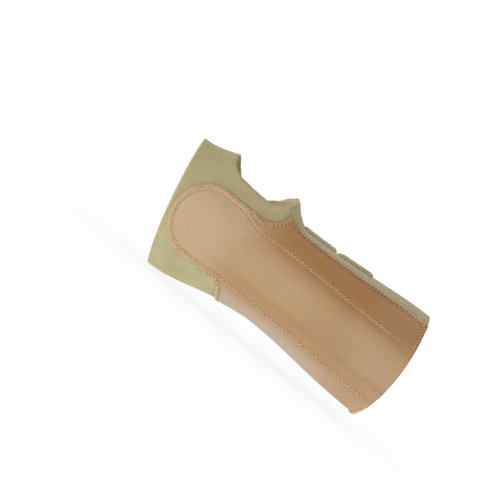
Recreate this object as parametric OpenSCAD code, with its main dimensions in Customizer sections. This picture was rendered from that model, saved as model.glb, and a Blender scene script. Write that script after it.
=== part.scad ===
// Wrist splint for a right hand, shown closed as it is worn.
// A loop-faced foam wrap goes round the hand and the forearm, with a hole for the thumb and a slit along the
// back. A leather cover on the palm side makes the pocket of a bent metal stay, and straps close the slit.
// The X axis runs along the forearm towards the elbow, +Z is the thumb side and -Y is the palm side.
// The origin is the middle of the wrist. Angles round the arm count from the thumb side, with the palm at 90.

/* [Length] */
// From the wrist to the thumb-side corner of the hand end
hand_len = 99; // [92:1:108]
// From the wrist to the corners of the forearm end
cuff_len = 89; // [84:1:105]
// How far the little-finger corner of the hand end is set back
hand_slant = 21; // [10:1:26]
// How far the palm edge of the hand end bulges out
hand_bulge = 2.5; // [0:0.5:4]
// How far the palm edge of the forearm end bulges out
cuff_bulge = 4; // [0:0.5:8]

/* [Width] */
// Reach of the wrap to the thumb side of the axis at the wrist
wrist_radial_reach = 33.4; // [31:0.2:36]
// Reach to the little-finger side at the wrist
wrist_ulnar_reach = 35; // [32:0.2:38]
// Reach to the little-finger side at the hand end
hand_ulnar_reach = 48.5; // [45:0.5:52]
// Reach to the thumb side at the hand end
hand_radial_reach = 40; // [37:0.5:43]
// Reach to the thumb side where the thumb comes out
thumb_reach = 49.5; // [46:0.5:53]
// Reach to the little-finger side at the forearm end
cuff_ulnar_reach = 40.5; // [38:0.5:45]
// Reach to the thumb side at the forearm end
cuff_radial_reach = 39.3; // [37:0.1:43]
// Distance of the palm's highest line from the axis, towards the little finger
crown_shift = 5; // [3:0.5:7]

/* [Depth] */
// Depth of the wrap from palm side to back at the wrist
wrist_depth = 48; // [44:0.5:52]
// Depth at the hand end
hand_depth = 35; // [33:0.5:39]
// Depth at the forearm end
cuff_depth = 60; // [56:0.5:66]
// Radius of the lengthwise bend of the palm side and of its stay
bend_r = 1000; // [850:10:1300]
// Place along the arm where the bent palm side runs parallel to the axis
bend_x = 130; // [110:1:150]

/* [Wrap layers] */
// Thickness of the loop-faced foam
foam_t = 2.0; // [1.4:0.1:3]
// Thickness of the lining on the skin side
lining_t = 0.8; // [0.5:0.1:1.2]
// Thickness of the leather cover
leather_t = 1.2; // [0.8:0.1:1.6]
// Gap between layers that lie on each other
layer_gap = 0.35; // [0.3:0.05:0.5]

/* [Openings] */
// Distance from the wrist to the near end of the thumb hole
thumb_near = 24; // [21:1:28]
// Length of the thumb hole along the arm
thumb_len = 50; // [44:1:54]
// Angle of the thumb hole's edge on the palm side, at its middle
thumb_palm_angle = 25; // [22:0.5:27]
// How much further into the palm that edge lies at the hole's near end, as an angle
thumb_tilt = 4.8; // [0:0.2:6]
// Angle of the thumb hole's edge on the back, below the thumb side
thumb_back_angle = 26; // [20:1:30]
// Angle of the line where the thumb-side flap folds open, along the forearm
fold_angle = 15; // [12:0.5:16]
// Angle of that line along the hand
fold_hand_angle = 5; // [3:0.5:9]
// Angle of the flap's free edge, below the thumb side
flap_edge_angle = 80; // [74:1:84]
// Angle of the little-finger side's free edge on the back
ulnar_edge_angle = 262; // [256:1:266]

/* [Leather cover] */
// Distance from the wrist to the tip of the lobe in the palm
lobe_tip = 89.5; // [84:0.5:91]
// Reach of the lobe to the thumb side
lobe_radial = 19.5; // [18:0.5:22]
// Reach of the lobe to the little-finger side
lobe_ulnar = 29.5; // [28:0.5:32]
// Radius of the cover's inner corner beside the thumb hole
thumb_fillet = 20; // [16:0.5:22]
// Radius of the cover's inner corner on the little-finger side
ulnar_fillet = 15; // [12:0.5:18]
// Distance from the wrist to where both inner corners leave the lobe
fillet_start = 39; // [37:0.5:42]
// Angle of the cover's edge on the thumb side, beside the thumb
cover_thumb_angle = 22.5; // [21:0.5:25]
// Angle of that edge at the forearm end
cover_radial_angle = 28.5; // [27:0.5:31]
// Angle of the cover's edge on the little-finger side
cover_ulnar_angle = 198; // [192:1:202]

/* [Stay] */
// Thickness of the stay
stay_t = 1.6; // [1.2:0.1:2]
// Width of the stay's end in the palm
stay_hand_w = 25; // [22:0.5:26]
// Width of the stay's end on the forearm
stay_cuff_w = 26.5; // [24:0.5:28]
// Distance from the wrist to the stay's end in the palm
stay_hand_x = 79; // [70:0.5:80]
// Distance from the wrist to the stay's end on the forearm
stay_cuff_x = 84; // [76:0.5:86]
// Radius of the stay's curve across its width
stay_crown_r = 180; // [150:10:300]
// Distance of the stay's middle line from the axis, towards the little finger
stay_shift = 6; // [5.5:0.5:6.5]
// Radius of the stay's corners on the forearm
stay_corner_r = 9; // [5:0.5:14]
// Clearance on both faces of the stay in its pocket
stay_clear = 0.4; // [0.3:0.05:0.6]
// Distance of the pocket's seam from the edge of the lobe
seam_inset = 3; // [2.5:0.25:3.5]
// Reach of the pocket's thumb-side seam along the forearm
seam_radial_cuff = 12; // [11.5:0.5:14]
// Reach of the pocket's little-finger seam at the wrist
seam_ulnar_wrist = 23.8; // [23.4:0.2:26]
// Reach of that seam at the forearm end
seam_ulnar_cuff = 26.6; // [25:0.2:29]

/* [Straps] */
// Thickness of the straps
strap_t = 1.6; // [1.2:0.1:2.2]
// Width of the straps
strap_w = 25; // [20:0.5:26]
// Thickness of the hook patches
hook_t = 1.0; // [0.8:0.1:1.4]
// Margin between a hook patch and the strap's edges
hook_margin = 1.5; // [1:0.25:3]
// Radius of the corners of a strap's tip
strap_corner_r = 6; // [3:0.5:9]
// Angle of the straps' tips, below the thumb side
strap_tip_angle = 148; // [142:1:152]
// Angle that a hook patch covers
hook_span = 34; // [26:1:36]
// Distance of the hand strap's middle from the hand end
hand_strap_inset = 39; // [35:0.5:43]
// Distance of the wrist strap's middle from the wrist
wrist_strap_x = 2.5; // [1.5:0.5:3]
// Distance of the forearm strap's middle from the wrist
forearm_strap_x = 31; // [30:0.5:34]
// Distance of the cuff strap's middle from the forearm end
cuff_strap_inset = 20.5; // [17:0.5:24]
// Thickness of the thread bars that hold the strap roots
tack_t = 0.6; // [0.4:0.1:0.8]
// Length of a thread bar along the strap
tack_len = 2; // [1.5:0.25:3]

/* [Hidden] */

loop_green = "#b0a882";
lining_beige = "#cdbb98";
leather_tan = "#bf9c70";
metal = "#c4c6c8";
hook_beige = "#b7ab8e";
thread_sand = "#cfae80";

// Squareness of the oval sections: 2 is an ellipse
hand_square = 2.1;
wrist_square = 2.8;
cuff_square = 2.5;
// Where the thumb bulge starts and is full, and where it starts to fall towards the hand end
flare_from = 6;
flare_full = 34;
flare_fall = 55;
// Squareness of the thumb hole's two edges, and where the fold line starts to turn towards the hand
palm_hole_square = 3;
back_hole_square = 2.2;
fold_turn = 10;
// Where the slanted hand end and the bulged forearm end start to shift the wrap's stations
slant_from = 45;
bulge_from = 50;
// Angle where the palm and little-finger panels of the wrap meet
panel_angle = 172;
// Angle of the running gap along the fold, and of the gap at a strap's peel line
fold_gap = 0.5;
peel_gap = 0.7;
// Gap of pieces that are sewn on each other, and of the lining that is bonded to the foam
sewn_gap = 0.2;
bond_gap = 0.05;
// Where the pocket's seams leave the lobe's edge, and the length over which they move in
seam_from = 46;
seam_turn = 16;
// Margin beside the stay before the cover comes down to its seam, and its run at the tip of the lobe
stay_margin = 2;
tip_ramp = 6.5;
// Length over which the cover's skirt on the little-finger side begins
skirt_ramp = 9;
// Angles over which a strap rises from the flap to its hook patch
rise_from = 86;
rise_to = 106;
// Angle between a strap's tip and its hook patch
hook_inset = 3;

thumb_far = thumb_near + thumb_len;
thumb_mid = -(thumb_near + thumb_far) / 2;
lobe_half = (lobe_radial + lobe_ulnar) / 2;
lobe_mid = (lobe_radial - lobe_ulnar) / 2;
lobe_end = lobe_half - lobe_tip;
skirt_x = ulnar_fillet - fillet_start;
cover_corner_x = thumb_fillet - fillet_start;
pocket_share = 1 - seam_inset / lobe_half;
stay_round_x = stay_hand_w / 2 - stay_hand_x;
stay_corner_x = stay_cuff_x - stay_corner_r;
bend_y = sqrt(bend_r * bend_r - bend_x * bend_x) - wrist_depth / 2;
lining_face = -foam_t - bond_gap;
inner_face = lining_face - lining_t;

// Each strap: middle along the arm, angle of its root's start, angle of its peel line
hand_strap = [hand_strap_inset - hand_len, -31, -56];
wrist_strap = [wrist_strap_x, 12, -40];
forearm_strap = [forearm_strap_x, 12, -40];
cuff_strap = [cuff_len - cuff_strap_inset, -22, -52];

function mix(a, b, t) = a + (b - a) * t;
function clamp01(t) = min(1, max(0, t));
function ease(t) = let (c = clamp01(t)) c * c * (3 - 2 * c);
function steps(a, b, n) = [for (i = [0:n]) mix(a, b, i / n)];
// Steps that crowd together at both ends, for outlines that turn square to the arm there
function round_steps(a, b, n) = [for (i = [0:n]) mix(a, b, (1 - cos(180 * i / n)) / 2)];
function tail(list) = [for (i = [1:len(list) - 1]) list[i]];

// The section of the wrap's outer face at a place along the arm
function depth(x) =
    x < 0 ? mix(wrist_depth, hand_depth, ease(-x / hand_len))
          : mix(wrist_depth, cuff_depth, ease(x / cuff_len));
function square_at(x) =
    x < 0 ? mix(wrist_square, hand_square, ease(-x / hand_len))
          : mix(wrist_square, cuff_square, ease(x / cuff_len));
function thumb_flare(x) =
    mix(wrist_radial_reach, thumb_reach, ease((-x - flare_from) / (flare_full - flare_from)));
function radial_reach(x) =
    x < 0 ? mix(thumb_flare(x), hand_radial_reach, ease((-x - flare_fall) / (hand_len - flare_fall)))
          : mix(wrist_radial_reach, cuff_radial_reach, ease(x / cuff_len));
function ulnar_reach(x) =
    x < 0 ? mix(wrist_ulnar_reach, hand_ulnar_reach, ease(-x / (hand_len - hand_slant)))
          : mix(wrist_ulnar_reach, cuff_ulnar_reach, ease(x / cuff_len));
// Height of the palm side over the axis, on the bend of the stay
function palm_height(x) = sqrt(bend_r * bend_r - (bend_x - x) * (bend_x - x)) - bend_y;
function half_width(x, thumb_side) =
    thumb_side ? radial_reach(x) + crown_shift : ulnar_reach(x) - crown_shift;
function polar(x, angle) =
    let (n = square_at(x))
    let (across = abs(cos(angle)) / half_width(x, cos(angle) >= 0))
    let (through = abs(sin(angle)) * 2 / depth(x))
    pow(pow(across, n) + pow(through, n), -1 / n);
// A point on the wrap's outer face, moved outwards by lift
function skin(x, angle, lift) =
    let (r = polar(x, angle) + lift)
    let (middle = palm_height(x) - depth(x) / 2)
    [x, -middle - r * sin(angle), r * cos(angle) - crown_shift];
// The angle of a point on the palm side at a height over the axis
function angle_at(x, z) =
    let (side = z + crown_shift)
    let (n = square_at(x))
    let (share = min(1, abs(side) / half_width(x, side >= 0)))
    atan2(depth(x) / 2 * pow(1 - pow(share, n), 1 / n), side);

// The ends of the wrap: a slanted and bulged cut at the hand and a bulged one at the forearm
function across_share(x, angle) =
    (half_width(x, true) - polar(x, angle) * cos(angle)) / (half_width(x, true) + half_width(x, false));
function slant(x, angle) =
    let (share = across_share(x, angle))
    let (rise = sin(angle) > 0 ? hand_bulge * 4 * share * (1 - share) : 0)
    (hand_slant * share - rise) * ease((-x - slant_from) / (hand_len - slant_from));
function bulge(x, angle) =
    cuff_bulge * pow(max(0, sin(angle)), 2) * ease((x - bulge_from) / (cuff_len - bulge_from));
function along(x, angle) = x + slant(x, angle) + bulge(x, angle);

// The fold line and the edges of the thumb hole on the palm side and on the flap, as angles
function fold(x) = mix(fold_angle, fold_hand_angle, ease((-x - fold_turn) / (thumb_near - fold_turn)));
function hole_place(x) = (x - thumb_mid) / (thumb_len / 2);
function hole_share(x, n) = pow(max(0, 1 - pow(abs(hole_place(x)), n)), 1 / n);
function palm_edge(x) =
    mix(fold(x), thumb_palm_angle + thumb_tilt * hole_place(x), hole_share(x, palm_hole_square));
function flap_edge(x) = mix(fold(x) - fold_gap, -thumb_back_angle, hole_share(x, back_hole_square));

// The outline of the leather cover, as angles
function lobe_width(x) =
    x < lobe_end ? sqrt(max(0, lobe_half * lobe_half - pow(x - lobe_end, 2))) : lobe_half;
function corner_rise(x, r) =
    let (run = min(r, max(0, x + fillet_start)))
    r - sqrt(r * r - run * run);
function cover_side(x) =
    mix(cover_thumb_angle, cover_radial_angle, clamp01((x - cover_corner_x) / (cuff_len - cover_corner_x)));
function cover_radial(x) =
    max(cover_side(x), angle_at(x, lobe_mid + lobe_width(x) + corner_rise(x, thumb_fillet)));
function cover_ulnar(x) =
    let (lobe_side = angle_at(x, lobe_mid - lobe_width(x) - corner_rise(x, ulnar_fillet)))
    mix(lobe_side, cover_ulnar_angle, ease((x - skirt_x + skirt_ramp) / skirt_ramp));

// The pocket: its seams follow the lobe, move in and go on to the forearm end, one straight and one spreading
function seam_moved(x) = ease((x + seam_from) / seam_turn);
function seam_radial(x) = mix(lobe_radial - seam_inset, seam_radial_cuff, seam_moved(x));
function seam_ulnar(x) =
    let (spread = mix(seam_ulnar_wrist, seam_ulnar_cuff, clamp01(x / cuff_len)))
    mix(lobe_ulnar - seam_inset, spread, seam_moved(x));
// Reach of the pocket to either side, with its round end in the lobe
function pocket_radial(x) = x < lobe_end ? lobe_mid + lobe_width(x) * pocket_share : seam_radial(x);
function pocket_ulnar(x) = x < lobe_end ? lobe_width(x) * pocket_share - lobe_mid : seam_ulnar(x);
function stay_half(x) =
    mix(stay_hand_w, stay_cuff_w, clamp01((x - stay_round_x) / (stay_corner_x - stay_round_x))) / 2;
function radial_run(x) = seam_radial(x) + stay_shift - stay_half(x) - stay_margin;
function ulnar_run(x) = seam_ulnar(x) - stay_shift - stay_half(x) - stay_margin;
function in_pocket(x, z) =
    ease((seam_radial(x) - z) / radial_run(x)) * ease((z + seam_ulnar(x)) / ulnar_run(x))
    * ease((x + lobe_tip - seam_inset) / tip_ramp);
function stay_top(x, z) =
    palm_height(x) + stay_clear + stay_t - pow(z + stay_shift, 2) / (2 * stay_crown_r);
function cover_point(x, angle, lift) =
    let (p = skin(x, angle, lift))
    let (rise = in_pocket(x, p.z) * max(0, stay_top(x, p.z) + stay_clear - layer_gap + p.y + lift))
    [p.x, p.y - rise, p.z];

// A closed sheet between two grids of points. place(u, v, side) gives the point at u and v on the inner face
// (side 0) or on the outer face (side 1)
module sheet(us, vs, place) {
    rows = len(us);
    columns = len(vs);
    function index(side, i, j) = (side * rows + i) * columns + j;
    points = [for (side = [0, 1], u = us, v = vs) place(u, v, side)];
    function cell(side, i, j) = [
        index(side, i, j), index(side, i + 1, j), index(side, i + 1, j + 1), index(side, i, j + 1)
    ];
    function halves(q) = [[q[0], q[1], q[2]], [q[0], q[2], q[3]]];
    function flip(q) = [q[0], q[3], q[2], q[1]];
    rim = concat(
        [for (i = [0:rows - 1]) [i, 0]],
        [for (j = [1:columns - 1]) [rows - 1, j]],
        [for (i = [rows - 2:-1:0]) [i, columns - 1]],
        [for (j = [columns - 2:-1:1]) [0, j]]
    );
    faces = [
        for (i = [0:rows - 2], j = [0:columns - 2]) each halves(cell(0, i, j)),
        for (i = [0:rows - 2], j = [0:columns - 2]) each halves(flip(cell(1, i, j))),
        for (k = [0:len(rim) - 1])
            let (a = rim[k], b = rim[(k + 1) % len(rim)])
            each halves([index(0, b.x, b.y), index(0, a.x, a.y), index(1, a.x, a.y), index(1, b.x, b.y)])
    ];
    polyhedron(points, faces);
}

// A panel of the wrap between two edges given as angles, from one depth under the outer face to another
module wrap_panel(stations, cells, from_edge, to_edge, inner, outer) {
    place = function (x, t, side)
        let (angle = mix(from_edge(x), to_edge(x), t))
        skin(along(x, angle), angle, side == 0 ? inner : outer);
    sheet(stations, steps(0, 1, cells), place);
}

hole_stations = concat(
    steps(-hand_len, -thumb_far, 4),
    tail(round_steps(-thumb_far, -thumb_near, 12)),
    tail(steps(-thumb_near, flare_from, 9)),
    tail(steps(flare_from, cuff_len, 9))
);

module palmar_panel(inner, outer) {
    wrap_panel(hole_stations, 16, function (x) palm_edge(x), function (x) panel_angle, inner, outer);
}
module ulnar_panel(inner, outer) {
    wrap_panel(hole_stations, 10, function (x) panel_angle, function (x) ulnar_edge_angle, inner, outer);
}
module radial_panel(inner, outer) {
    wrap_panel(hole_stations, 11, function (x) -flap_edge_angle, function (x) flap_edge(x), inner, outer);
}

module palmar_wrap() {
    color(loop_green) palmar_panel(-foam_t, 0);
}
module palmar_lining() {
    color(lining_beige) palmar_panel(inner_face, lining_face);
}
module ulnar_wrap() {
    color(loop_green) ulnar_panel(-foam_t, 0);
}
module ulnar_lining() {
    color(lining_beige) ulnar_panel(inner_face, lining_face);
}
module radial_wrap() {
    color(loop_green) radial_panel(-foam_t, 0);
}
module radial_lining() {
    color(lining_beige) radial_panel(inner_face, lining_face);
}

cover_stations = concat(
    [for (turn = [14:11:80]) lobe_end - lobe_half * cos(turn)],
    steps(lobe_end, -fillet_start, 4),
    tail(steps(-fillet_start, cover_corner_x, 13)),
    tail(steps(cover_corner_x, cuff_len, 13))
);

// The cover's columns: from its thumb-side edge to the pocket (0 to 1), across the pocket (1 to 2), and on to its
// edge on the little-finger side (2 to 3)
cover_columns = concat(steps(0, 1, 7), tail(steps(1, 2, 15)), tail(steps(2, 3, 8)));
function cover_angle(x, t) =
    let (from = angle_at(x, pocket_radial(x)))
    let (to = angle_at(x, -pocket_ulnar(x)))
    t < 1 ? mix(cover_radial(x), from, t)
    : t < 2 ? mix(from, to, t - 1)
    : mix(to, cover_ulnar(x), t - 2);

module leather_cover() {
    place = function (x, t, side)
        let (angle = cover_angle(x, t))
        cover_point(x + bulge(x, angle), angle, layer_gap + side * leather_t);
    color(leather_tan) sheet(cover_stations, cover_columns, place);
}

// The stay: a strip bent round the bend's centre and crowned across, cut to a tapered outline
module stay_outline() {
    hand_half = stay_hand_w / 2;
    cuff_half = stay_cuff_w / 2;
    corner_z = cuff_half - stay_corner_r;
    translate([stay_round_x, 0]) circle(r = hand_half, $fn = 96);
    polygon([
        [stay_round_x, -hand_half], [stay_corner_x, -cuff_half],
        [stay_corner_x, cuff_half], [stay_round_x, hand_half]
    ]);
    translate([stay_round_x, -corner_z]) square([stay_cuff_x - stay_round_x, 2 * corner_z]);
    for (side = [-1, 1]) translate([stay_corner_x, side * corner_z]) circle(r = stay_corner_r, $fn = 64);
}
module stay_band() {
    bottom = bend_r + stay_clear;
    half = stay_cuff_w;
    crown_x = bottom - stay_crown_r;
    reach = asin((hand_len + bend_x) / bend_r);
    translate([bend_x, bend_y, -stay_shift])
        rotate([0, 0, -90 - reach])
            rotate_extrude(angle = reach, $fn = 360)
                intersection() {
                    difference() {
                        translate([crown_x, 0]) circle(r = stay_crown_r + stay_t, $fn = 360);
                        translate([crown_x, 0]) circle(r = stay_crown_r, $fn = 360);
                    }
                    translate([crown_x + stay_crown_r / 2, -half]) square([stay_crown_r, 2 * half]);
                }
}
module palmar_stay() {
    deep = cuff_depth;
    color(metal) intersection() {
        stay_band();
        translate([0, 0, -stay_shift]) rotate([90, 0, 0]) linear_extrude(deep) stay_outline();
    }
}

// Lift of a strap's inner face over the wrap: it rises over its hook patch
function strap_lift(angle) =
    mix(layer_gap, layer_gap + hook_t + sewn_gap, ease((-angle - rise_from) / (rise_to - rise_from)));
// Half the width of a strap near its round-cornered tip
function tip_half(angle, x) =
    let (left = max(0, (angle + strap_tip_angle) * PI / 180 * polar(x, angle)))
    let (run = max(0, strap_corner_r - left))
    strap_w / 2 - strap_corner_r + sqrt(max(0, strap_corner_r * strap_corner_r - run * run));
// A patch across a strap, between two angles and two lifts
module strap_patch(strap, angles, half, lift, t) {
    place = function (angle, share, side)
        let (x = strap[0] + share * half(angle))
        skin(x, angle, lift(angle) + side * t);
    sheet(angles, [-1, -0.5, 0, 0.5, 1], place);
}
module strap_root(strap) {
    color(loop_green) strap_patch(strap, steps(strap[2], strap[1], 6), function (angle) strap_w / 2,
        function (angle) layer_gap, strap_t);
}
module strap_free(strap) {
    tip_span = strap_corner_r * 180 / PI / polar(strap[0], -strap_tip_angle);
    angles = concat(
        [for (turn = [0:22.5:90]) -strap_tip_angle + tip_span * (1 - cos(turn))],
        tail(steps(tip_span - strap_tip_angle, strap[2] - peel_gap, 11))
    );
    color(loop_green) strap_patch(strap, angles, function (angle) tip_half(angle, strap[0]),
        function (angle) strap_lift(angle), strap_t);
}
module strap_hook(strap) {
    start = -strap_tip_angle + hook_inset;
    color(hook_beige) strap_patch(strap, steps(start, start + hook_span, 5),
        function (angle) min(strap_w / 2, tip_half(angle, strap[0])) - hook_margin,
        function (angle) layer_gap, hook_t);
}

module hand_strap_root() {
    strap_root(hand_strap);
}
module hand_strap() {
    strap_free(hand_strap);
}
module hand_strap_hook() {
    strap_hook(hand_strap);
}
module wrist_strap_root() {
    strap_root(wrist_strap);
}
module wrist_strap() {
    strap_free(wrist_strap);
}
module wrist_strap_hook() {
    strap_hook(wrist_strap);
}
module forearm_strap_root() {
    strap_root(forearm_strap);
}
module forearm_strap() {
    strap_free(forearm_strap);
}
module forearm_strap_hook() {
    strap_hook(forearm_strap);
}
module cuff_strap_root() {
    strap_root(cuff_strap);
}
module cuff_strap() {
    strap_free(cuff_strap);
}
module cuff_strap_hook() {
    strap_hook(cuff_strap);
}

// Two thread bars across each strap root, at its peel line and at its start
module strap_bar_tacks() {
    tack_half = strap_w / 2 - hook_margin;
    color(thread_sand)
        for (strap = [hand_strap, wrist_strap, forearm_strap, cuff_strap], end = [1, 2]) {
            span = tack_len * 180 / PI / polar(strap[0], strap[end]);
            start = strap[end] + (end == 2 ? span : -2 * span);
            strap_patch(strap, [start, start + span], function (angle) tack_half,
                function (angle) layer_gap + strap_t + sewn_gap, tack_t);
        }
}

palmar_wrap();
palmar_lining();
ulnar_wrap();
ulnar_lining();
radial_wrap();
radial_lining();
leather_cover();
palmar_stay();
hand_strap_root();
hand_strap();
hand_strap_hook();
wrist_strap_root();
wrist_strap();
wrist_strap_hook();
forearm_strap_root();
forearm_strap();
forearm_strap_hook();
cuff_strap_root();
cuff_strap();
cuff_strap_hook();
strap_bar_tacks();
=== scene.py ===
"""Looks of the wrist splint: foam wrap, leather cover, zigzag seams, straps, hook patches and stay."""

import math

import bpy
import numpy as np
from mathutils import Matrix, Vector
from mathutils.kdtree import KDTree


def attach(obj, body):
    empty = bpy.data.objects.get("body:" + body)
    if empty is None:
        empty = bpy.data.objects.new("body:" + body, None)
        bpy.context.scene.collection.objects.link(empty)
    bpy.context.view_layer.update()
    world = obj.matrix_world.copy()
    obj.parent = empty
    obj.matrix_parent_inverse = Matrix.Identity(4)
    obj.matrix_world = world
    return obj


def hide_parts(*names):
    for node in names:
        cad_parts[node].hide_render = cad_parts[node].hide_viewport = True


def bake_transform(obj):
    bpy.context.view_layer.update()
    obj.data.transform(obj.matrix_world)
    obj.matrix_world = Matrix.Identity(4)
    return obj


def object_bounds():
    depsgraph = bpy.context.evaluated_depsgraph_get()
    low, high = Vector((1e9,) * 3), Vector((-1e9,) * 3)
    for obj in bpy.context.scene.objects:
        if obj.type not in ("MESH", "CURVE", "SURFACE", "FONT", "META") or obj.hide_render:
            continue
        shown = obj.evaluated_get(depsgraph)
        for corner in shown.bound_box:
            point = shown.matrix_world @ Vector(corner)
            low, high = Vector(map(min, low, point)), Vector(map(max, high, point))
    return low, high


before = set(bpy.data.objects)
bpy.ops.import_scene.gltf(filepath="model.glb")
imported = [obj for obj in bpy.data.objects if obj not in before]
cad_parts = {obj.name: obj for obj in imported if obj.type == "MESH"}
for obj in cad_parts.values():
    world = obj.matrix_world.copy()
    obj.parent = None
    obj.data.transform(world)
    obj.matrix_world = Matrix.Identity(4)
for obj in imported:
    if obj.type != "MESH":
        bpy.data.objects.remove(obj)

cad_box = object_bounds()
scene = bpy.context.scene
MM = 0.001

# Sizes in millimetres and degrees. +X is along the forearm, +Z the thumb side, -Y the palm side. In the
# functions x is a place along the arm and a an angle round it, from the thumb side at 0 to the palm at 90.

# Ends of the wrap
hand_len = 99
cuff_len = 89
hand_slant = 21
slant_from = 45
hand_bulge = 2.5
cuff_bulge = 4
bulge_from = 50

# Cross-section of the wrap: reach to each side, depth, how square it is, and the bend along the palm
wrist_radial_reach = 33.4
wrist_ulnar_reach = 35
hand_ulnar_reach = 48.5
hand_radial_reach = 40
thumb_reach = 49.5
flare_from = 6
flare_full = 34
flare_fall = 55
cuff_ulnar_reach = 40.5
cuff_radial_reach = 39.3
crown_shift = 5
wrist_depth = 48
hand_depth = 35
cuff_depth = 60
hand_square = 2.1
wrist_square = 2.8
cuff_square = 2.5
bend_r = 1000
bend_x = 130
wrap_t = 2.85

# Thumb hole, fold line and the wrap's edges on the back
thumb_near = 24
thumb_far = 74
thumb_palm_angle = 25
thumb_tilt = 4.8
thumb_back_angle = 26
palm_hole_square = 3
back_hole_square = 2.2
fold_angle = 15
fold_hand_angle = 5
fold_turn = 10
flap_edge_angle = 80
ulnar_edge_angle = 262

# Leather cover. Its outline follows the photo up to 1.7 mm inside its solid round the lobe, and its
# thumb-side corner lies 4 mm closer to the hand than the solid's.
leather_t = 1.2
layer_gap = 0.35
lobe_tip = 88
lobe_radial = 19.3
lobe_ulnar = 28
thumb_fillet = 16
thumb_fillet_start = 39
ulnar_fillet = 17
ulnar_fillet_start = 41
cover_thumb_angle = 24.5
cover_radial_angle = 28.5
cover_ulnar_angle = 198
skirt_ramp = 9

# Stay, the pocket's seams round it and the swell beside it
stay_t = 1.6
stay_hand_w = 25
stay_cuff_w = 26.5
stay_hand_x = 79
stay_cuff_x = 84
stay_crown_r = 180
stay_shift = 6
stay_corner_r = 9
stay_clear = 0.4
stay_margin = 0.6
seam_inset = 3
seam_radial_cuff = 12
seam_ulnar_wrist = 23.8
seam_ulnar_cuff = 26.6
seam_from = 50
seam_turn = 18
tip_ramp = 6.5
swell_high = 1.9
swell_in = 3.2
swell_out = 11
swell_slope = 3

# Straps and hook patches
strap_t = 1.6
strap_w = 25
strap_corner_r = 6
strap_tip_angle = 148
rise_from = 86
rise_to = 106
hook_t = 1.0
hook_margin = 1.5
hook_span = 34
hook_inset = 3
tack_len = 2
sewn_gap = 0.2

# Each strap: middle along the arm, angle of its root's start, angle of its peel line
straps = {
    "hand_strap": (-60, -31, -56),
    "wrist_strap": (2.5, 12, -40),
    "forearm_strap": (31, 12, -40),
    "cuff_strap": (68.5, -22, -52),
}

thumb_mid = -(thumb_near + thumb_far) / 2
thumb_half = (thumb_far - thumb_near) / 2
lobe_half = (lobe_radial + lobe_ulnar) / 2
lobe_mid = (lobe_radial - lobe_ulnar) / 2
lobe_end = lobe_half - lobe_tip
skirt_x = ulnar_fillet - ulnar_fillet_start
cover_corner_x = thumb_fillet - thumb_fillet_start
stay_round_x = stay_hand_w / 2 - stay_hand_x
stay_corner_x = stay_cuff_x - stay_corner_r
bend_y = math.sqrt(bend_r**2 - bend_x**2) - wrist_depth / 2


# Section functions of the wrap

def mix(a, b, t):
    return a + (b - a) * t


def ease(t):
    c = np.clip(t, 0, 1)
    return c * c * (3 - 2 * c)


def cosd(a):
    return np.cos(np.radians(a))


def sind(a):
    return np.sin(np.radians(a))


def by_side(x, at_wrist, at_hand, at_cuff):
    """A size that eases from the wrist to the hand end and to the forearm end."""
    to_hand = mix(at_wrist, at_hand, ease(-x / hand_len))
    to_cuff = mix(at_wrist, at_cuff, ease(x / cuff_len))
    return np.where(x < 0, to_hand, to_cuff)


def depth(x):
    return by_side(x, wrist_depth, hand_depth, cuff_depth)


def square_at(x):
    return by_side(x, wrist_square, hand_square, cuff_square)


def radial_reach(x):
    flare = mix(wrist_radial_reach, thumb_reach, ease((-x - flare_from) / (flare_full - flare_from)))
    hand = mix(flare, hand_radial_reach, ease((-x - flare_fall) / (hand_len - flare_fall)))
    return np.where(x < 0, hand, mix(wrist_radial_reach, cuff_radial_reach, ease(x / cuff_len)))


def ulnar_reach(x):
    hand = mix(wrist_ulnar_reach, hand_ulnar_reach, ease(-x / (hand_len - hand_slant)))
    return np.where(x < 0, hand, mix(wrist_ulnar_reach, cuff_ulnar_reach, ease(x / cuff_len)))


def palm_height(x):
    return np.sqrt(bend_r**2 - (bend_x - x) ** 2) - bend_y


def middle(x):
    return palm_height(x) - depth(x) / 2


def half_width(x, thumb_side_painted_light):
    return np.where(thumb_side_painted_light, radial_reach(x) + crown_shift, ulnar_reach(x) - crown_shift)


def polar(x, a):
    n = square_at(x)
    across = np.abs(cosd(a)) / half_width(x, cosd(a) >= 0)
    through = np.abs(sind(a)) * 2 / depth(x)
    return (across**n + through**n) ** (-1 / n)


def skin(x, a, lift=0.0):
    """Points on the wrap's outer face, moved outwards by lift."""
    x, a, lift = np.broadcast_arrays(np.asarray(x, float), np.asarray(a, float), np.asarray(lift, float))
    r = polar(x, a) + lift
    return np.stack([x, -middle(x) - r * sind(a), r * cosd(a) - crown_shift], -1)


def angle_at(x, z):
    """The angle of a point on the palm side at a height over the axis."""
    side = z + crown_shift
    n = square_at(x)
    share = np.minimum(1, np.abs(side) / half_width(x, side >= 0))
    return np.degrees(np.arctan2(depth(x) / 2 * (1 - share**n) ** (1 / n), side))


def slant(x, a):
    radial, ulnar = half_width(x, True), half_width(x, False)
    share = (radial - polar(x, a) * cosd(a)) / (radial + ulnar)
    rise = np.where(sind(a) > 0, hand_bulge * 4 * share * (1 - share), 0)
    return (hand_slant * share - rise) * ease((-x - slant_from) / (hand_len - slant_from))


def bulge(x, a):
    return cuff_bulge * np.maximum(0, sind(a)) ** 2 * ease((x - bulge_from) / (cuff_len - bulge_from))


def along(x, a):
    return x + slant(x, a) + bulge(x, a)


def fold(x):
    return mix(fold_angle, fold_hand_angle, ease((-x - fold_turn) / (thumb_near - fold_turn)))


def hole_place(x):
    return (x - thumb_mid) / thumb_half


def hole_share(x, n):
    return np.maximum(0, 1 - np.abs(hole_place(x)) ** n) ** (1 / n)


def palm_edge(x):
    return mix(fold(x), thumb_palm_angle + thumb_tilt * hole_place(x), hole_share(x, palm_hole_square))


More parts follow.
